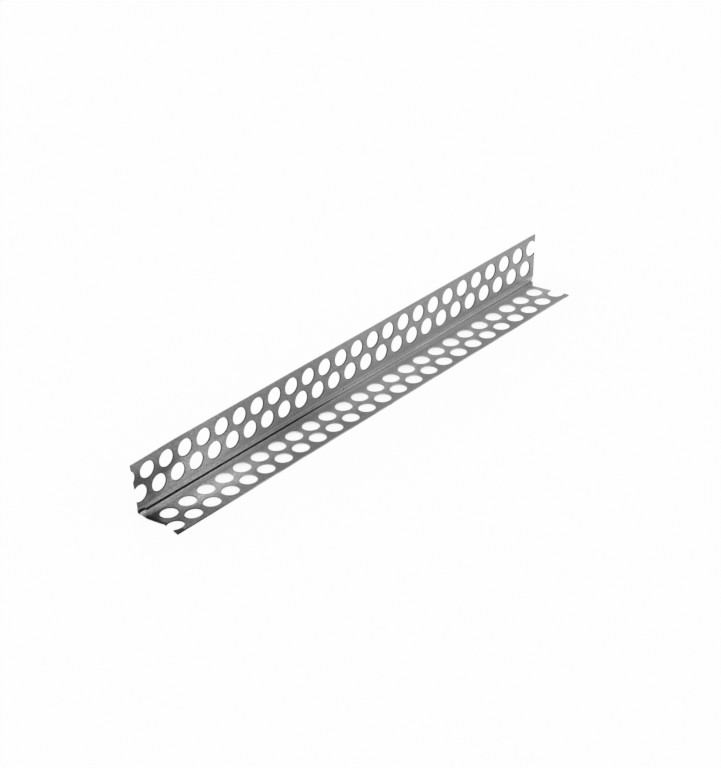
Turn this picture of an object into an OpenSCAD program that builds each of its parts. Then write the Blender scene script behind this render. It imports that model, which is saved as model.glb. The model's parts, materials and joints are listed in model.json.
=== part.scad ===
// Perforated drywall corner bead: one folded strip of sheet metal, as it lies on a level floor.
// X runs along the bead from the near end, Z is up, and the upper flange stands at the back.

/* [Sheet] */
// Thickness of the sheet
sheet_t = 0.5; // [0.4:0.05:0.7]
// Length along the upper edge
bead_l = 251; // [120:1:600]
// Flange width from the inner corner line to the edge
flange_w = 22.5; // [22:0.5:40]

/* [Holes] */
// Diameter of each hole
hole_d = 7.6; // [4:0.1:8]
// Distance between the holes of one row
hole_pitch = 10; // [9.5:0.5:16]
// Width of the plain strip between the inner corner line and the inner holes
root_strip = 4.3; // [3.2:0.1:6]
// Width of the plain strip between the outer holes and the flange's edge
edge_strip = 2.1; // [1:0.1:4]
// Distance from the near end to the first whole hole of the upper outer row
first_hole = 7.8; // [5:0.1:9]
// How far the lower flange's rows are set along from the upper flange's
lower_shift = 6.2; // [0:0.1:9]

/* [Nose] */
// Width of the sloping shoulder beside the fold, on each flange
shoulder_w = 2.4; // [2:0.1:3]
// How far the shoulder turns outwards from its flange, in degrees
shoulder_turn = 12; // [6:1:18]
// Distance from the inner corner line to the tip of the nose, along the bisector
nose_reach = 2.4; // [2.2:0.1:3]
// Thickness of the folded nose
fold_w = 1.7; // [1.6:0.05:2]
// Gap inside the fold at the near end
slot_near = 0.8; // [0.4:0.05:0.9]
// Gap inside the fold where it is pressed together
slot_far = 0.15; // [0.1:0.05:0.3]
// Distance from the near end to where the fold is pressed together
open_l = 120; // [60:1:300]

/* [Ends] */
// Near end: how far the cut falls back at the corner
near_corner_back = 1; // [0:0.1:5]
// Near end: distance from the corner to where both cuts change their slant
near_knee_w = 12; // [6:0.5:20]
// Near end: how far the cut falls back there on the upper flange
near_upper_knee = 0.6; // [0:0.1:5]
// Near end: how far the cut falls back there on the lower flange
near_lower_knee = 2.5; // [0:0.1:5]
// Near end: how far the cut falls back at the lower flange's edge
near_lower_back = 0.1; // [0:0.1:5]
// Far end: how far the cut falls back at the corner
far_corner_back = 2.6; // [0:0.1:5]
// Far end: how far the snip falls back beside the lower shoulder
far_snip_back = 7.1; // [0:0.1:9]
// Far end: distance from the corner to that snip
far_snip_w = 3.4; // [2.5:0.1:6]
// Far end: how far the cut falls back at the lower flange's edge
far_lower_back = 5; // [0:0.1:9]

/* [Hidden] */
$fn = 64;

zinc_grey = [0.55, 0.56, 0.57];
// How far a cutter reaches past the metal
over = 5;
inner_row = root_strip + hole_d / 2;
outer_row = flange_w - edge_strip - hole_d / 2;

// The shoulders' inner faces meet on the bisector, this far out from the inner corner line
shoulder_lean = 45 - shoulder_turn;
groove_out = shoulder_w * sin(shoulder_turn) / (cos(shoulder_turn) - sin(shoulder_turn));
groove_depth = groove_out * sqrt(2);
// Set-over of the sheet's outer face at the bend between flange and shoulder
bend_up = sheet_t * tan(shoulder_turn / 2);

// The bead rests on its nose and on the lower flange's edge
nose_r = fold_w / 2;
nose_centre = nose_reach - nose_r;
nose_side = nose_centre / sqrt(2);
edge_to_nose = [nose_side + flange_w, sheet_t - nose_side];
rest_tilt = asin(nose_r / norm(edge_to_nose)) - atan2(edge_to_nose[1], edge_to_nose[0]);
floor_drop = flange_w * sin(rest_tilt) + sheet_t * cos(rest_tilt);
back_y = nose_side * (cos(rest_tilt) + sin(rest_tilt)) + nose_r;
front_y = -flange_w * cos(rest_tilt);

// Half of the section: the standing flange with its shoulder, its inner face on the Z axis
module flange_section() {
    tip = [groove_out, -groove_out];
    thick = [sheet_t * cos(shoulder_turn), sheet_t * sin(shoulder_turn)];
    polygon([
        [0, flange_w],
        [0, shoulder_w],
        tip,
        tip + thick,
        [sheet_t, shoulder_w + bend_up],
        [sheet_t, flange_w]
    ]);
}

// The neck of the fold, from where the shoulders' outer faces meet its sides
module neck_section() {
    start = groove_depth - (nose_r - sheet_t / cos(shoulder_lean)) / tan(shoulder_lean);
    rotate(-45)
        polygon([
            [groove_depth, 0],
            [start, nose_r],
            [nose_centre, nose_r],
            [nose_centre, -nose_r],
            [start, -nose_r]
        ]);
}

// The round nose at the tip of the fold
module nose_section() {
    rotate(-45)
        translate([nose_centre, 0])
            circle(r = nose_r);
}

// Lets a section drawn across the bead run along it, past both ends
module run_along() {
    translate([-over, 0, 0])
        rotate([90, 0, 90])
            linear_extrude(height = bead_l + 2 * over)
                children();
}

// The strip before it is punched and cut to length
module strip() {
    run_along()
        flange_section();
    to_lower()
        run_along()
            flange_section();
    run_along()
        neck_section();
    run_along()
        nose_section();
}

// The gap in the fold, which narrows until the fold is pressed together and then runs on
module slot() {
    far_x = bead_l + over;
    rotate([-135, 0, 0])
        linear_extrude(height = nose_reach - sheet_t)
            polygon([
                [-over, -slot_near / 2],
                [open_l, -slot_far / 2],
                [far_x, -slot_far / 2],
                [far_x, slot_far / 2],
                [open_l, slot_far / 2],
                [-over, slot_near / 2]
            ]);
}

// One row of punched holes through the upper flange, with none whose middle would lie past the far end
module hole_row(height, first_x) {
    steps = ceil(bead_l / hole_pitch);
    for (i = [-1 : steps])
        if (first_x + i * hole_pitch < bead_l)
            translate([first_x + i * hole_pitch, -over, height])
                rotate([-90, 0, 0])
                    cylinder(d = hole_d, h = 2 * over);
}

// Both rows of one flange, the inner one half a pitch further along
module flange_holes(first_x) {
    hole_row(outer_row, first_x);
    hole_row(inner_row, first_x + hole_pitch / 2);
}

// Swaps the standing flange and the lying one
module to_lower() {
    mirror([0, 1, 1])
        children();
}

// What the cuts at both ends take away from the standing flange
module upper_trim() {
    high = flange_w + over;
    near_x = -2 * over;
    far_x = bead_l + 2 * over;
    translate([0, over, 0])
        rotate([90, 0, 0])
            linear_extrude(height = 2 * over) {
                polygon([
                    [near_x, 0],
                    [near_corner_back, 0],
                    [near_upper_knee, near_knee_w],
                    [0, flange_w],
                    [0, high],
                    [near_x, high]
                ]);
                polygon([
                    [far_x, 0],
                    [bead_l - far_corner_back, 0],
                    [bead_l, flange_w],
                    [bead_l, high],
                    [far_x, high]
                ]);
            }
}

// What the cuts at both ends take away from the lying flange and the nose
module lower_trim() {
    deep = -(flange_w + over);
    back = over;
    near_x = -2 * over;
    far_x = bead_l + 2 * over;
    translate([0, 0, -2 * over])
        linear_extrude(height = 2 * over) {
            polygon([
                [near_x, back],
                [near_corner_back, back],
                [near_corner_back, 0],
                [near_lower_knee, -near_knee_w],
                [near_lower_back, -flange_w],
                [near_lower_back, deep],
                [near_x, deep]
            ]);
            polygon([
                [far_x, back],
                [bead_l - far_corner_back, back],
                [bead_l - far_corner_back, 0],
                [bead_l - far_snip_back, -far_snip_w],
                [bead_l - far_lower_back, -flange_w],
                [bead_l - far_lower_back, deep],
                [far_x, deep]
            ]);
        }
}

// The whole bead with its inner corner line on the X axis
module bead() {
    difference() {
        strip();
        slot();
        flange_holes(first_hole);
        to_lower()
            flange_holes(first_hole + lower_shift);
        upper_trim();
        lower_trim();
    }
}

module corner_bead() {
    color(zinc_grey)
        translate([-bead_l / 2, -(back_y + front_y) / 2, floor_drop])
            rotate([rest_tilt, 0, 0])
                bead();
}

corner_bead();
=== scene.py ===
import json
import math

import bmesh
import bpy
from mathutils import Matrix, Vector


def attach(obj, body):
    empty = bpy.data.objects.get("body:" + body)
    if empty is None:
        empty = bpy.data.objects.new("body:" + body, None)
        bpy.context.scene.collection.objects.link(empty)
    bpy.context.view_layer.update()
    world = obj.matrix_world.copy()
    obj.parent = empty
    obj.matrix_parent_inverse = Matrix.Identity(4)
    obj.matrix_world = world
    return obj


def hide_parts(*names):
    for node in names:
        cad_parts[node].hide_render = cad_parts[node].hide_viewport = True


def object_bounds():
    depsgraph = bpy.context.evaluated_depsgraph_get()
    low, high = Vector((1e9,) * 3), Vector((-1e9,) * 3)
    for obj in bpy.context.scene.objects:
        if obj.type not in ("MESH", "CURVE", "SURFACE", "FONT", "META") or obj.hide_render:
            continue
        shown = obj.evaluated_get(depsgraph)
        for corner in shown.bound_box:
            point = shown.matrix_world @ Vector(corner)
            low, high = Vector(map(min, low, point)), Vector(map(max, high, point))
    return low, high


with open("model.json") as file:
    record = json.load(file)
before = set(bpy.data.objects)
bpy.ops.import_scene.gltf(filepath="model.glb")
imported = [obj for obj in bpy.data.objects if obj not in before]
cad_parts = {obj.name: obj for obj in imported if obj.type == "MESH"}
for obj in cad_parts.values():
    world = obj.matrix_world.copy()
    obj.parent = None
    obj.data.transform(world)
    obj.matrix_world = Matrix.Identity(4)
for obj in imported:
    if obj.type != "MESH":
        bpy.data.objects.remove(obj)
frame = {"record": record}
cad_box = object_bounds()

# Corner bead, punched and folded: one strip of thin zinc-coated steel with two staggered rows of holes in
# each flange, folded along its middle into a nose that is pinched shut over its far half. The inner face is
# drawn first, in millimetres from the near end and the inner corner line. Thickness, ends and place follow.
MM = 0.001
FLANGE_W = 22.5
SHOULDER_W = 2.4
SHOULDER_TURN = math.radians(12)
NOSE_REACH = 2.4
SLOT_NEAR = 0.8
SLOT_FAR = 0.04
OPEN_L = 120.0
BEND_BEVEL = 0.2
LIP_BEVEL = 0.2
BEVEL_SEGMENTS = 3
ROUND_PROFILE = 0.5
NOSE_STEPS = 3

mounts = {mount["name"]: mount for mount in frame["record"]["mounts"]}
upper_hole = mounts["upper_outer_hole_near"]
hole_r = upper_hole["dims"]["r_mm"]
sheet_t = upper_hole["dims"]["length_mm"]
tilt = math.atan2(upper_hole["axis"][2], upper_hole["axis"][1])


def untilted(name):
    """A hole's middle in millimetres, with the bead turned back from its lean on the floor."""
    x, y, z = (length / MM for length in mounts[name]["pos_m"])
    return Vector((x, y * math.cos(tilt) + z * math.sin(tilt), z * math.cos(tilt) - y * math.sin(tilt)))


# The holes' own places give the pitch, the rows and the corner line that both flanges start from
PITCHES_BETWEEN = 10
upper_outer = untilted("upper_outer_hole_near")
upper_inner = untilted("upper_inner_hole_near")
lower_outer = untilted("lower_outer_hole_near")
pitch = (untilted("upper_outer_hole_middle").x - upper_outer.x) / PITCHES_BETWEEN
near_end = cad_box[0][0] / MM
bead_l = (cad_box[1][0] - cad_box[0][0]) / MM
corner = Vector((near_end, upper_outer.y - sheet_t / 2, lower_outer.z + sheet_t / 2))
outer_row = upper_outer.z - corner.z
inner_row = upper_inner.z - corner.z
row_gap = outer_row - inner_row

# Each hole sits in its own cell of the sheet, with the same columns along the bead for every cell
COLUMNS = 12
BURR_W = 0.22
BURR_RISE = 0.07
RIM_W = 0.4
SPARE_HOLES = 2
MERGE = 0.001
column = pitch / COLUMNS
cell_top = outer_row + row_gap / 2
cell_foot = inner_row - row_gap / 2


def select_edges(piece, test):
    """Selects the edges whose two ends both pass the test."""
    bpy.ops.mesh.select_mode(type="EDGE")
    bpy.ops.mesh.select_all(action="DESELECT")
    sheet = bmesh.from_edit_mesh(piece.data)
    for edge in sheet.edges:
        if all(test(vert.co) for vert in edge.verts):
            edge.select_set(True)
    bmesh.update_edit_mesh(piece.data)


def select_faces(piece, test):
    """Selects the faces whose middle passes the test."""
    bpy.ops.mesh.select_mode(type="FACE")
    bpy.ops.mesh.select_all(action="DESELECT")
    sheet = bmesh.from_edit_mesh(piece.data)
    for face in sheet.faces:
        if test(face.calc_center_median()):
            face.select_set(True)
    bmesh.update_edit_mesh(piece.data)


def place_selected(piece, place):
    """Puts each selected point where the rule says."""
    sheet = bmesh.from_edit_mesh(piece.data)
    for vert in sheet.verts:
        if vert.select:
            vert.co = place(vert.co)
    bmesh.update_edit_mesh(piece.data)


def apply_modifier(piece, name, kind, **settings):
    """Adds a modifier, sets it and applies it."""
    modifier = piece.modifiers.new(name, kind)
    for key, setting in settings.items():
        setattr(modifier, key, setting)
    bpy.ops.object.modifier_apply(modifier=name)


def cell_border(vert, hole, middle):
    """Where a ring round a hole meets the border of the hole's cell, a quarter of the ring on each side."""
    angle = math.atan2(vert.z - hole.z, vert.x - hole.x)
    quarter = round(angle / (math.pi / 2)) * math.pi / 2
    aside = (angle - quarter) / (math.pi / 4)
    across = math.cos(quarter) - aside * math.sin(quarter)
    upwards = math.sin(quarter) + aside * math.cos(quarter)
    return middle + Vector((across * pitch / 2, 0, upwards * row_gap / 2))


def punched_flange(name, some_hole):
    """One flange's flat sheet with both rows of holes, standing up, with its inner face on the XZ plane."""
    first_hole = (some_hole - pitch / 2) % pitch + pitch / 2 - SPARE_HOLES * pitch
    hole = Vector((first_hole, 0, outer_row))
    middle = Vector((round(first_hole / column) * column, 0, outer_row))
    bpy.ops.object.select_all(action="DESELECT")
    bpy.ops.mesh.primitive_circle_add(vertices=4 * COLUMNS, radius=hole_r)
    flange = bpy.context.object
    flange.name = name
    flange.rotation_euler = (math.pi / 2, 0, 0)
    flange.location = hole
    bpy.ops.object.transform_apply(location=True, rotation=True, scale=True)
    bpy.ops.object.mode_set(mode="EDIT")
    bpy.ops.mesh.select_mode(type="EDGE")
    bpy.ops.mesh.select_all(action="SELECT")
    for ring_r in (hole_r + BURR_W, hole_r + RIM_W):
        bpy.ops.mesh.extrude_edges_indiv()
        place_selected(flange, lambda co: hole + (co - hole).normalized() * ring_r)
    bpy.ops.mesh.extrude_edges_indiv()
    place_selected(flange, lambda co: cell_border(co, hole, middle))
    select_edges(flange, lambda co: (co - hole).length < hole_r + MERGE)
    bpy.ops.transform.translate(value=(0, -BURR_RISE, 0))
    bpy.ops.object.mode_set(mode="OBJECT")
    count = math.ceil(bead_l / pitch) + 2 * SPARE_HOLES
    apply_modifier(
        flange, "row", "ARRAY", count=count, use_relative_offset=False, use_constant_offset=True,
        constant_offset_displace=(pitch, 0, 0), use_merge_vertices=True, merge_threshold=MERGE)
    bpy.ops.object.mode_set(mode="EDIT")
    bpy.ops.mesh.select_all(action="SELECT")
    bpy.ops.mesh.duplicate_move(TRANSFORM_OT_translate={"value": (pitch / 2, 0, -row_gap)})
    bpy.ops.mesh.select_all(action="SELECT")
    bpy.ops.mesh.remove_doubles(threshold=MERGE)
    select_edges(flange, lambda co: co.z > cell_top - MERGE)
    for height in ((cell_top + FLANGE_W) / 2, FLANGE_W):
        bpy.ops.mesh.extrude_edges_indiv()
        place_selected(flange, lambda co: Vector((co.x, 0, height)))
    bpy.ops.object.mode_set(mode="OBJECT")
    return flange


upper = punched_flange("upper_flange", upper_outer.x - corner.x)
lower = punched_flange("lower_flange", lower_outer.x - corner.x)
bpy.ops.object.select_all(action="DESELECT")
lower.select_set(True)
bpy.context.view_layer.objects.active = lower
lower.rotation_euler = (math.pi / 2, 0, 0)
bpy.ops.object.transform_apply(location=False, rotation=True, scale=False)
lower.scale = (1, 1, -1)
bpy.ops.object.transform_apply(location=False, rotation=False, scale=True)
upper.select_set(True)
bpy.context.view_layer.objects.active = upper
bpy.ops.object.join()
bead = upper
bead.name = "punched_bead"
bead.data.name = "punched_bead"

# The fold is drawn by its reach out from the corner line and its distance aside from the middle of the nose
ROOT_TWO = math.sqrt(2)
slot_floor = NOSE_REACH - sheet_t


def folded(vert, aside, reach):
    """A point of the fold, on the side of the flange that the given point belongs to."""
    side = math.copysign(aside, vert.y + vert.z)
    return Vector((vert.x, (reach + side) / ROOT_TWO, (side - reach) / ROOT_TWO))


def half_slot(x):
    """Half the gap in the fold, which narrows until the fold is pressed together."""
    closed = min(max(x / OPEN_L, 0), 1)
    return (SLOT_NEAR + (SLOT_FAR - SLOT_NEAR) * closed) / 2


def bend_place(vert):
    """Where the flange bends into its sloping shoulder."""
    return folded(vert, SHOULDER_W / ROOT_TWO, -SHOULDER_W / ROOT_TWO)


def lip_place(vert):
    """Where the sloping shoulder meets the wall of the slot."""
    run = (SHOULDER_W - half_slot(vert.x) * ROOT_TWO) / (math.cos(SHOULDER_TURN) - math.sin(SHOULDER_TURN))
    outwards = run * math.sin(SHOULDER_TURN)
    height = SHOULDER_W - run * math.cos(SHOULDER_TURN)
    return folded(vert, half_slot(vert.x), (outwards - height) / ROOT_TWO)


def slot_wall_place(vert):
    """Where the wall of the slot meets its round floor."""
    return folded(vert, half_slot(vert.x), slot_floor - half_slot(vert.x))


def slot_floor_place(number):
    """The rule for one line of the slot's round floor, a quarter turn from its wall to its middle."""
    angle = math.pi / 2 * number / NOSE_STEPS

    def place(vert):
        gap = half_slot(vert.x)
        return folded(vert, gap * math.cos(angle), slot_floor - gap + gap * math.sin(angle))

    return place


# Two holes of the inner rows would lie mostly past the ends and were never punched
last_inner = (upper_inner.x - corner.x) % pitch + math.floor(bead_l / pitch) * pitch
skipped_upper = Vector((last_inner, -BURR_RISE, inner_row))
skipped_lower = Vector(((lower_outer.x - corner.x + pitch / 2) % pitch - pitch, -inner_row, BURR_RISE))
bpy.ops.object.mode_set(mode="EDIT")
for skipped, sink in ((skipped_upper, (0, BURR_RISE, 0)), (skipped_lower, (0, 0, -BURR_RISE))):
    select_edges(bead, lambda co: (co - skipped).length < hole_r + MERGE)
    bpy.ops.transform.translate(value=sink)
    bpy.ops.mesh.edge_face_add()
    bpy.ops.mesh.poke()


def at_root(co):
    """Whether a point lies on the edge of a flange that the fold starts from."""
    return abs(co.y * co.z) < MERGE and abs(abs(co.y + co.z) - cell_foot) < MERGE


select_edges(bead, at_root)
fold_lines = [bend_place, lip_place, slot_wall_place]
fold_lines += [slot_floor_place(number + 1) for number in range(NOSE_STEPS)]
for line_place in fold_lines:
    bpy.ops.mesh.extrude_edges_indiv()
    place_selected(bead, line_place)
bpy.ops.mesh.select_all(action="SELECT")
bpy.ops.mesh.remove_doubles(threshold=MERGE)
for line_place, width in ((bend_place, BEND_BEVEL), (lip_place, LIP_BEVEL)):
    select_edges(bead, lambda co: (co - line_place(co)).length < MERGE)
    bpy.ops.mesh.bevel(offset=width, segments=BEVEL_SEGMENTS, profile=ROUND_PROFILE, affect="EDGES")
bpy.ops.object.mode_set(mode="OBJECT")

# The near end took a knock: its nose is kicked up as far as a crease and its tip is pushed back, the lower
# flange is bent down and outwards between its shoulder and its edge, and the upper flange's edge dips
KICK = 0.75
CREASE_NEAR = 3.9
CREASE_FAR = 4.9
KICK_LOW = 0.3
KICK_HIGH = 1.0
PUSH = 0.9
PUSH_HIGH = -0.4
DROOP = 0.8
DROOP_L = 32.0
SPREAD = 0.7
SPREAD_L = 20.0
DIP = 0.65
DIP_L = 26.0


def ease(value, start, end):
    """Runs smoothly from 0 to 1 while the value runs from start to end."""
    part = min(max((value - start) / (end - start), 0), 1)
    return part * part * (3 - 2 * part)


def knocked(vert):
    """Where a point of the bead lies after the knock."""
    height = vert.z - vert.y
    kick = KICK * ease(vert.x, CREASE_FAR, CREASE_NEAR) * ease(height, KICK_HIGH, KICK_LOW)
    push = PUSH * ease(vert.x, CREASE_FAR, 0) * ease(height, PUSH_HIGH, -slot_floor)
    if vert.z + vert.y > 0:
        dip = DIP * ease(vert.x, DIP_L, 0) * ease(height, outer_row, FLANGE_W)
        return vert + Vector((push, 0, kick - dip))
    droop = DROOP * ease(vert.x, DROOP_L, 0)
    droop = droop * ease(height, 0, inner_row / 2) * ease(height, FLANGE_W, inner_row)
    spread = SPREAD * ease(vert.x, SPREAD_L, 0)
    spread = spread * ease(height, inner_row, outer_row) * ease(height, FLANGE_W, outer_row)
    return vert + Vector((push, -spread, kick - droop))


class Value:
    """A socket of one material's nodes: sums and products of values add Math nodes to the same material."""

    def __init__(self, tree, socket=None):
        self.tree = tree
        self.socket = socket

    def node(self, kind, settings, sockets, out=0):
        """Adds a node, sets it, then gives its sockets their values or links."""
        made = self.tree.nodes.new(kind)
        for key, setting in settings.items():
            setattr(made, key, setting)
        for key, value in sockets.items():
            if isinstance(value, Value):
                self.tree.links.new(value.socket, made.inputs[key])
            else:
                made.inputs[key].default_value = value
        return Value(self.tree, made.outputs[out])

    def other(self, out):
        """Another outlet of the same node."""
        return Value(self.tree, self.socket.node.outputs[out])

    def math(self, operation, first, second):
        return self.node("ShaderNodeMath", {"operation": operation}, {0: first, 1: second})

    def __add__(self, other):
        return self.math("ADD", self, other)

    def __mul__(self, other):
        return self.math("MULTIPLY", self, other)

    def __sub__(self, other):
        return self.math("SUBTRACT", self, other)

    def __rsub__(self, other):
        return self.math("SUBTRACT", other, self)

    def __truediv__(self, other):
        return self.math("DIVIDE", self, other)

    __radd__ = __add__
    __rmul__ = __mul__


def new_material(name):
    """An empty material with its shader, and the place on the piece that its patterns read."""
    material = bpy.data.materials.new(name)
    material.use_nodes = True
    tree = material.node_tree
    shader = tree.nodes["Principled BSDF"]
    here = Value(tree).node("ShaderNodeTexCoord", {}, {}, out="Object")
    return material, shader, here


def feed(shader, **sockets):
    """Links values to the shader's sockets, whose names are written with underscores for spaces."""
    for key, value in sockets.items():
        value.tree.links.new(value.socket, shader.inputs[key.replace("_", " ")])


NOISE_MIDDLE = 0.5


def uneven(place, scale, detail=2.0):
    """Cloudy noise about nought, at a number of clouds to the metre."""
    noise = place.node("ShaderNodeTexNoise", {}, {"Vector": place, "Scale": scale, "Detail": detail})
    return noise - NOISE_MIDDLE


def stretched(place, along):
    """The same place, drawn out along the bead, for streaks that follow the rolling."""
    return place.node("ShaderNodeMapping", {}, {"Vector": place, "Scale": (along, 1, 1)})


def step(value, start, end):
    """Runs smoothly from 0 to 1 while the value runs from start to end."""
    return value.node(
        "ShaderNodeMapRange", {"interpolation_type": "SMOOTHSTEP"},
        {"Value": value, "From Min": start, "From Max": end})


def patch(station, height, middle, reach, gain):
    """The gain in the middle of an oval patch, fading to 0 at its rim."""
    along = (station - middle[0]) / reach[0]
    up = (height - middle[1]) / reach[1]
    return step(along * along + up * up, 1, 0) * gain


def bead_place(here):
    """The station along the bead, the height up either flange, and the side, above 0 on the upper one."""
    along = here.node("ShaderNodeSeparateXYZ", {}, {"Vector": here}, out="X")
    back = along.other("Y")
    up = along.other("Z")
    across = (back * math.cos(tilt) + up * math.sin(tilt)) / MM - corner.y
    upwards = (up * math.cos(tilt) - back * math.sin(tilt)) / MM - corner.z
    return along / MM - near_end, upwards - across, upwards + across


# The lower flange's near cut is painted black, on its upper face and on its sheared one: painted shadow of
# the dark gap under the flange's end
CUT_SHADE = (3.6, 2.5)
CUT_SHADE_FROM = (1.6, 2.6)
CUT_SLANT = 0.04


def cut_shade(station, height, on_lower):
    """How much painted shadow blackens the bead beside the lower flange's near cut, from 0 to 1."""
    return on_lower * step(station - height * CUT_SLANT, *CUT_SHADE) * step(height, *CUT_SHADE_FROM)


# The faces carry a dull zinc coat: cloudy where it cooled, with fine streaks from the rollers and a mottled
# grain that shows most towards the near end
ZINC_GREY = 0.36
ZINC_METAL = 0.5
ZINC_ROUGH = 0.35
STREAK_L = 0.02
STREAK_COUNT = 1400
STREAK_TONE = 0.5
STREAK_ROUGH = 0.12
CLOUD_COUNT = 70
CLOUD_TONE = 0.2
CLOUD_ROUGH = 0.2
GRAIN_COUNT = 1300
GRAIN_TONE = 0.8
NEAR_GRAIN_TONE = 0.8
GRAIN_FADE = (110, 20)
GRAIN_RIPPLE = 0.5
RIPPLE_STRENGTH = 0.25
RIPPLE_DEPTH = 0.00001
CORNER_BLEND = (0.15, -0.15)
zinc, zinc_shader, here = new_material("zinc_coat")
station, height, side = bead_place(here)
on_lower = step(side, *CORNER_BLEND)
on_upper = 1 - on_lower
streaks = uneven(stretched(here, STREAK_L), STREAK_COUNT, detail=3)
clouds = uneven(here, CLOUD_COUNT, detail=3)
grain = uneven(here, GRAIN_COUNT)
mottling = grain * (GRAIN_TONE + step(station, *GRAIN_FADE) * NEAR_GRAIN_TONE)
tone = ZINC_GREY * (1 + streaks * STREAK_TONE + clouds * CLOUD_TONE + mottling)

# The shoulders beside the fold are painted lighter, as painted light against the shade in the fold's
# corner, with real burnish streaks from the rollers, and most where the near end was hammered. Painted
# highlight lines the lower lip where the fold stands open, and the upper one where it is pressed together
SHOULDER_FADE = (0.6, -0.4)
LIP_EDGE = (0.6, 0.1)
LOWER_LIP_EDGE = (1.4, -0.2)
FOLD_PRESSED = (96, 130)
HAMMERED = (56, 40)
ROLLED_L = 0.01
ROLLED_COUNT = 1300
ROLLED_POLISH = 1.5
SHOULDER_SHEEN = 0.42
PRESSED_GAIN = 0.22
PRESSED_LOWER_LOSS = 0.36
HAMMERED_GAIN = 0.08
HAMMERED_LOWER_GAIN = 0.12
LIP_HIGHLIGHT = 0.6
LOWER_LIP_HIGHLIGHT = 1.3
pressed = step(station, *FOLD_PRESSED)
shoulders = step(height - SHOULDER_W, *SHOULDER_FADE)
hammered = step(station, *HAMMERED) * (HAMMERED_GAIN + on_lower * HAMMERED_LOWER_GAIN)
rolled = uneven(stretched(here, ROLLED_L), ROLLED_COUNT) * ROLLED_POLISH
# Painted light on the shoulders, with the rollers' real burnish streaks
sheen_and_burnish = SHOULDER_SHEEN + pressed * (PRESSED_GAIN - on_lower * PRESSED_LOWER_LOSS) + hammered + rolled
# Painted highlights along the lips
lip_highlight = step(height, *LIP_EDGE) * pressed * on_upper * LIP_HIGHLIGHT
lower_lip_highlight = step(height, *LOWER_LIP_EDGE) * (1 - pressed) * on_lower * LOWER_LIP_HIGHLIGHT
tone = tone * (1 + shoulders * sheen_and_burnish + lip_highlight) * (1 + lower_lip_highlight)

# The rollers left fine lines along the lower flange, beside the open part of the fold
LINE_PITCH = 1.75
LINE_FIRST = 1.0
LINE_TONE = 0.2
LINES_TOP = (5.0, 3.8)
LINES_END = (96, 60)
wave = here.math("COSINE", (height - LINE_FIRST) * (2 * math.pi / LINE_PITCH), 0)
lines = wave * on_lower * step(height, *LINES_TOP) * step(station, *LINES_END)
tone = tone * (1 + lines * LINE_TONE)

# Painted shade blackens the inside of the fold as far as it stands open, also where the knock has moved it
SLOT_OPEN = (126, 86)
SLOT_MOUTH = (0.1, -0.6)
LOWER_MOUTH_SHIFT = 0.6
SLOT_BACK_ROOM = 0.1
SLOT_SIDES = (0.8, 0.5)
SLOT_SHADE = 0.95
lifted = step(station, CREASE_FAR, CREASE_NEAR) * KICK
slot_height = height - lifted
slot_side = side - lifted
slot_back = (-(NOSE_REACH - SLOT_BACK_ROOM) * ROOT_TWO, -(slot_floor + SLOT_BACK_ROOM) * ROOT_TWO)
in_fold = step(slot_height, *slot_back) * step(slot_side * slot_side, *SLOT_SIDES)
mouth = step(slot_height + on_lower * LOWER_MOUTH_SHIFT, *SLOT_MOUTH)
tone = tone * (1 - mouth * in_fold * step(station, *SLOT_OPEN) * SLOT_SHADE)

# Painted shade darkens the flanges' outer parts, the lower one most, a long stretch before the middle, and
# the near end most of all.
# The far end is darker low on both flanges, and the near cut of the lower flange is painted black as
# painted shadow
LOWER_EDGE = (10, 19)
LOWER_EDGE_SHADE = 0.35
OUTER_STRIP = (15, 19)
OUTER_STRIP_SHADE = 0.1
SHADED_FROM = (54, 82)
SHADED_TO = (128, 92)
STRETCH_SHADE = 0.24
NEAR_SHADE = (14, 1)
NEAR_SLANT = 0.8
NEAR_UPPER_SLANT = 0.3
NEAR_SPARED = 0.5
NEAR_SHADE_LOSS = 0.6
FAR_DARK = (238, 248)
FAR_DARK_TOP = (8, 3)
FAR_LOSS = 0.2
CUT_SHADE_LOSS = 0.85
outer_strip = step(height, *OUTER_STRIP)
shaded_stretch = step(station + height, *SHADED_FROM) * step(station, *SHADED_TO)
near_shade = step(station - height * (NEAR_SLANT + on_upper * NEAR_UPPER_SLANT), *NEAR_SHADE)
near_shade = near_shade * (1 - outer_strip * NEAR_SPARED) * (1 - shoulders * NEAR_SPARED)
# Darker at the far end, low on both flanges
far_dark = step(station, *FAR_DARK) * step(height, *FAR_DARK_TOP)
# Painted shadow blackens the lower flange's near cut
cut_shaded = cut_shade(station, height, on_lower)
# Painted shade on the flanges' outer parts, along a stretch before the middle and at the near end
tone = tone * (1 - on_lower * step(height, *LOWER_EDGE) * LOWER_EDGE_SHADE)
tone = tone * (1 - on_upper * outer_strip * OUTER_STRIP_SHADE) * (1 - shaded_stretch * STRETCH_SHADE)
tone = tone * (1 - near_shade * NEAR_SHADE_LOSS) * (1 - far_dark * FAR_LOSS) * (1 - cut_shaded * CUT_SHADE_LOSS)

# Patches, each with its middle and reach as a station and a height, and how much brighter it makes the
# coat. The upper and lower highlights are painted highlight, the near shades and the web shade are painted
# shade, the near pale patch is lighter, and the nick, speck and burr are marks in the metal
HIGHLIGHT_UPPER = {"middle": (34, 7), "reach": (24, 7.5), "gain": 0.4}
HIGHLIGHT_LOWER = {"middle": (34, 10), "reach": (24, 7.5), "gain": 0.4}
NEAR_UPPER_SHADE = {"middle": (2, 13), "reach": (8, 7), "gain": -0.35}
WEB_SHADE = {"middle": (19, 13.2), "reach": (9, 3.2), "gain": -0.3}
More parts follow.
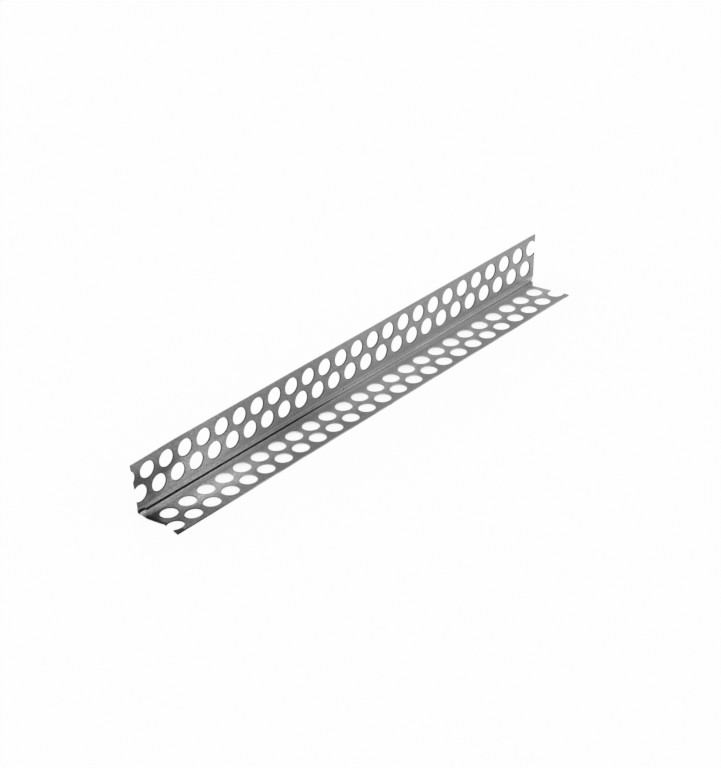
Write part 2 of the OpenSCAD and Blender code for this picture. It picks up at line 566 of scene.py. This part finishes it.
# A lighter patch on the upper flange beside the fold at the near end
NEAR_PALE_PATCH = {"middle": (3.5, 4.6), "reach": (6, 2.2), "gain": 0.45}
NEAR_LOWER_SHADE = {"middle": (3, 5), "reach": (10, 4.5), "gain": -0.65}
NICK = {"middle": (98.8, 0.7), "reach": (0.6, 0.9), "gain": -0.75}
SPECK = {"middle": (118.0, 1.2), "reach": (0.7, 0.7), "gain": -0.75}
BURR = {"middle": (198.4, 12.7), "reach": (1.6, 0.6), "gain": -0.75}
INNER_FACE = (0.9, 0.7)
on_inner = on_upper * step(side - height, *INNER_FACE)
upper_patches = (HIGHLIGHT_UPPER, NEAR_UPPER_SHADE, WEB_SHADE, NEAR_PALE_PATCH)
lower_patches = (HIGHLIGHT_LOWER, NEAR_LOWER_SHADE)
inner_marks = (NICK, SPECK, BURR)
# Painted highlights and painted shade on the flanges, and the real nick, speck and burr on the inner face
for on_face, patches_here in ((on_upper, upper_patches), (on_lower, lower_patches), (on_inner, inner_marks)):
    for one_patch in patches_here:
        tone = tone * (1 + on_face * patch(station, height, **one_patch))
feed(zinc_shader, Base_Color=tone)
feed(zinc_shader, Roughness=ZINC_ROUGH + streaks * STREAK_ROUGH + clouds * CLOUD_ROUGH)
zinc_shader.inputs["Metallic"].default_value = ZINC_METAL
relief = streaks + grain * GRAIN_RIPPLE
ripple = here.node(
    "ShaderNodeBump", {}, {"Strength": RIPPLE_STRENGTH, "Distance": RIPPLE_DEPTH, "Height": relief})
feed(zinc_shader, Normal=ripple)
bead.data.materials.append(zinc)

# Where the sheet was sheared or punched, bare steel shows: painted dark as painted reflection of dark
# surroundings, and painted black at the lower flange's near cut as painted shadow. The lower flange's hole
# walls, most in its inner row, are painted lighter as painted reflection of the white floor, and the nose
# and some holes, in the upper flange towards the far end, are wiped clean
# The steel's dark grey is painted dark reflection
STEEL_GREY = 0.07
STEEL_METAL = 1.0
STEEL_ROUGH = 0.5
DRAG_COUNT = 3000
DRAG_TONE = 0.6
DRAG_ROUGH = 0.2
LIT_LOWER = (14, 40)
LOWER_WALL_LIGHT = 4
INNER_ROW_TOP = (13, 11.5)
INNER_ROW_LIGHT = 3
WIPED_UPPER = (110, 200)
WIPED_NOSE = (3, 2)
NOSE_GAIN = 2
WIPED_SPOTS = (-0.06, 0.08)
SPOT_COUNT = 60
SPOT_GAIN = 3
CUT_FACE_SHADE = 0.85
sheared, sheared_shader, here = new_material("sheared_steel")
station, height, side = bead_place(here)
on_lower = step(side, *CORNER_BLEND)
drag = uneven(here, DRAG_COUNT)
spots = step(uneven(here, SPOT_COUNT), *WIPED_SPOTS) * SPOT_GAIN
inner_row_holes = step(height, *INNER_ROW_TOP) * INNER_ROW_LIGHT
# Painted reflection of the white floor on the lower flange's hole walls, with real wiped spots
lit_lower = on_lower * step(station, *LIT_LOWER) * (LOWER_WALL_LIGHT + inner_row_holes + spots)
wiped_upper = (1 - on_lower) * step(station, *WIPED_UPPER) * spots
wiped_and_lit = lit_lower + wiped_upper + step(height, *WIPED_NOSE) * NOSE_GAIN
# Painted shadow blackens the lower flange's near cut
cut_shaded = cut_shade(station, height, on_lower)
steel_tone = STEEL_GREY * (1 + drag * DRAG_TONE) * (1 + wiped_and_lit) * (1 - cut_shaded * CUT_FACE_SHADE)
feed(sheared_shader, Base_Color=steel_tone)
feed(sheared_shader, Roughness=STEEL_ROUGH + drag * DRAG_ROUGH)
sheared_shader.inputs["Metallic"].default_value = STEEL_METAL
bead.data.materials.append(sheared)

# The sheet's faces turn inwards, towards the corner, before it gets its thickness on the other side
bpy.ops.object.mode_set(mode="EDIT")
bpy.ops.mesh.select_all(action="SELECT")
bpy.ops.mesh.normals_make_consistent(inside=False)
bpy.ops.object.mode_set(mode="OBJECT")
top_face = max(bead.data.polygons, key=lambda face: face.center.z)
if top_face.normal.y > 0:
    bpy.ops.object.mode_set(mode="EDIT")
    bpy.ops.mesh.select_all(action="SELECT")
    bpy.ops.mesh.flip_normals()
    bpy.ops.object.mode_set(mode="OBJECT")
apply_modifier(
    bead, "thickness", "SOLIDIFY", thickness=sheet_t, offset=-1, use_even_offset=True,
    material_offset_rim=1)

# The upper flange's long edge is coated like the faces. The other edges stay bare, and all are rounded
EDGE_BEVEL = 0.05
EDGE_ANGLE = math.radians(50)
bpy.ops.object.mode_set(mode="EDIT")
select_faces(bead, lambda mid: mid.z > FLANGE_W - MERGE)
bead.active_material_index = 0
bpy.ops.object.material_slot_assign()
bpy.ops.object.mode_set(mode="OBJECT")
apply_modifier(
    bead, "edges", "BEVEL", width=EDGE_BEVEL, segments=1, limit_method="ANGLE", angle_limit=EDGE_ANGLE)

# Both ends are cut by hand with snips, so each flange has a cut of its own slant
NEAR_CORNER_BACK = 1.0
NEAR_KNEE_W = 12.0
NEAR_UPPER_KNEE = 0.6
NEAR_LOWER_KNEE = 2.5
NEAR_LOWER_BACK = 0.1
FAR_CORNER_BACK = 2.6
FAR_SNIP_BACK = 7.1
FAR_SNIP_W = 3.4
FAR_LOWER_BACK = 5.0
CUT_SPARE = 60.0
CUT_OVERLAP = 0.3
NOSE_ROOM = 5.0


def cut_away(upper_side, foot, head, past):
    """Cuts one flange along a line between two places, each a station and a height up the flange."""
    bpy.ops.object.select_all(action="DESELECT")
    bpy.ops.mesh.primitive_cube_add(size=2)
    block = bpy.context.object
    block.data.materials.append(sheared)
    slant = (head[0] - foot[0]) / (head[1] - foot[1])

    def place(co):
        height = head[1] + CUT_OVERLAP if co.z > 0 else foot[1]
        station = past if co.x > 0 else foot[0] + slant * (height - foot[1])
        if upper_side:
            return Vector((station, NOSE_ROOM if co.y > 0 else -CUT_OVERLAP, height))
        return Vector((station, -height, CUT_OVERLAP if co.y > 0 else -NOSE_ROOM))

    bpy.ops.object.mode_set(mode="EDIT")
    bpy.ops.mesh.select_all(action="SELECT")
    place_selected(block, place)
    bpy.ops.mesh.normals_make_consistent(inside=False)
    bpy.ops.object.mode_set(mode="OBJECT")
    bpy.ops.object.select_all(action="DESELECT")
    bead.select_set(True)
    bpy.context.view_layer.objects.active = bead
    apply_modifier(
        bead, "cut", "BOOLEAN", operation="DIFFERENCE", solver="EXACT", object=block,
        material_mode="TRANSFER")
    bpy.data.objects.remove(block)


near_upper_cut = ((NEAR_CORNER_BACK, 0), (NEAR_UPPER_KNEE, NEAR_KNEE_W), (0, FLANGE_W))
near_lower_cut = (
    (NEAR_CORNER_BACK, -NOSE_ROOM), (NEAR_CORNER_BACK, 0), (NEAR_LOWER_KNEE, NEAR_KNEE_W),
    (NEAR_LOWER_BACK, FLANGE_W))
far_upper_cut = ((bead_l - FAR_CORNER_BACK, 0), (bead_l, FLANGE_W))
far_lower_cut = (
    (bead_l - FAR_CORNER_BACK, -NOSE_ROOM), (bead_l - FAR_CORNER_BACK, 0),
    (bead_l - FAR_SNIP_BACK, FAR_SNIP_W), (bead_l - FAR_LOWER_BACK, FLANGE_W))
for on_upper_flange, cut, past in (
        (True, near_upper_cut, -CUT_SPARE), (False, near_lower_cut, -CUT_SPARE),
        (True, far_upper_cut, bead_l + CUT_SPARE), (False, far_lower_cut, bead_l + CUT_SPARE)):
    for foot, head in zip(cut, cut[1:]):
        cut_away(on_upper_flange, foot, head, past)

# The knock comes last, on the finished ends
bpy.ops.object.mode_set(mode="EDIT")
bpy.ops.mesh.select_all(action="SELECT")
place_selected(bead, knocked)
bpy.ops.object.mode_set(mode="OBJECT")

# The finished bead is set in its place on the floor, in metres
SMOOTH_ANGLE = math.radians(35)
bead.scale = (MM, MM, MM)
bead.rotation_euler = (tilt, 0, 0)
bead.location = (
    corner.x * MM,
    (corner.y * math.cos(tilt) - corner.z * math.sin(tilt)) * MM,
    (corner.y * math.sin(tilt) + corner.z * math.cos(tilt)) * MM)
bpy.ops.object.transform_apply(location=True, rotation=True, scale=True)
bpy.ops.object.shade_smooth_by_angle(angle=SMOOTH_ANGLE)
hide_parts("corner_bead")
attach(bead, "root")

# Floor: a sheet of plain white paper that the bead lies on. It shows as white paper does in a light tent,
# with only a weak shadow under the metal.
FLOOR_SIZE = 12.0
PAPER_WHITE = 0.9
PAPER_ROUGH = 1.0
PAPER_SHINE = 0.0
FIBRE_COUNT = 400
FIBRE_TONE = 0.02
TENT_SHARE = 0.88
TENT_LIGHT = 1.0
WHITE = (1, 1, 1, 1)
bpy.ops.object.select_all(action="DESELECT")
bpy.ops.mesh.primitive_plane_add(size=FLOOR_SIZE)
floor = bpy.context.object
floor.name = "floor"
paper, paper_shader, here = new_material("white_paper")
feed(paper_shader, Base_Color=PAPER_WHITE + uneven(here, FIBRE_COUNT, detail=3) * FIBRE_TONE)
paper_shader.inputs["Roughness"].default_value = PAPER_ROUGH
paper_shader.inputs["Specular IOR Level"].default_value = PAPER_SHINE
seen = here.node("ShaderNodeLightPath", {}, {}, out="Is Camera Ray")
seen = seen + seen.other("Is Glossy Ray") + seen.other("Is Transmission Ray")
glow = here.node("ShaderNodeEmission", {}, {"Color": WHITE, "Strength": TENT_LIGHT})
plain = Value(paper.node_tree, paper_shader.outputs["BSDF"])
mixed = here.node("ShaderNodeMixShader", {}, {0: seen * TENT_SHARE, 1: plain, 2: glow})
paper.node_tree.links.new(mixed.socket, paper.node_tree.nodes["Material Output"].inputs["Surface"])
floor.data.materials.append(paper)

# Camera: it stands before the near end, to the left and above, as the photographer did, with a long lens.
# The light is a plain white tent all round.
CAMERA_PLACE = (-0.5192, -0.51624, 0.36875)
CAMERA_TURN = (63.4644, 6.1687, -47.8312)
CAMERA_LENS = 91.056
SENSOR_W = 36.0
bpy.ops.object.camera_add(location=CAMERA_PLACE, rotation=[math.radians(angle) for angle in CAMERA_TURN])
camera = bpy.context.object
camera.data.lens = CAMERA_LENS
camera.data.sensor_width = SENSOR_W
scene = bpy.context.scene
scene.camera = camera
scene.view_settings.view_transform = "Standard"
scene.world = bpy.data.worlds.new("light_tent")
scene.world.use_nodes = True
tent = scene.world.node_tree.nodes["Background"]
tent.inputs["Color"].default_value = WHITE
tent.inputs["Strength"].default_value = TENT_LIGHT
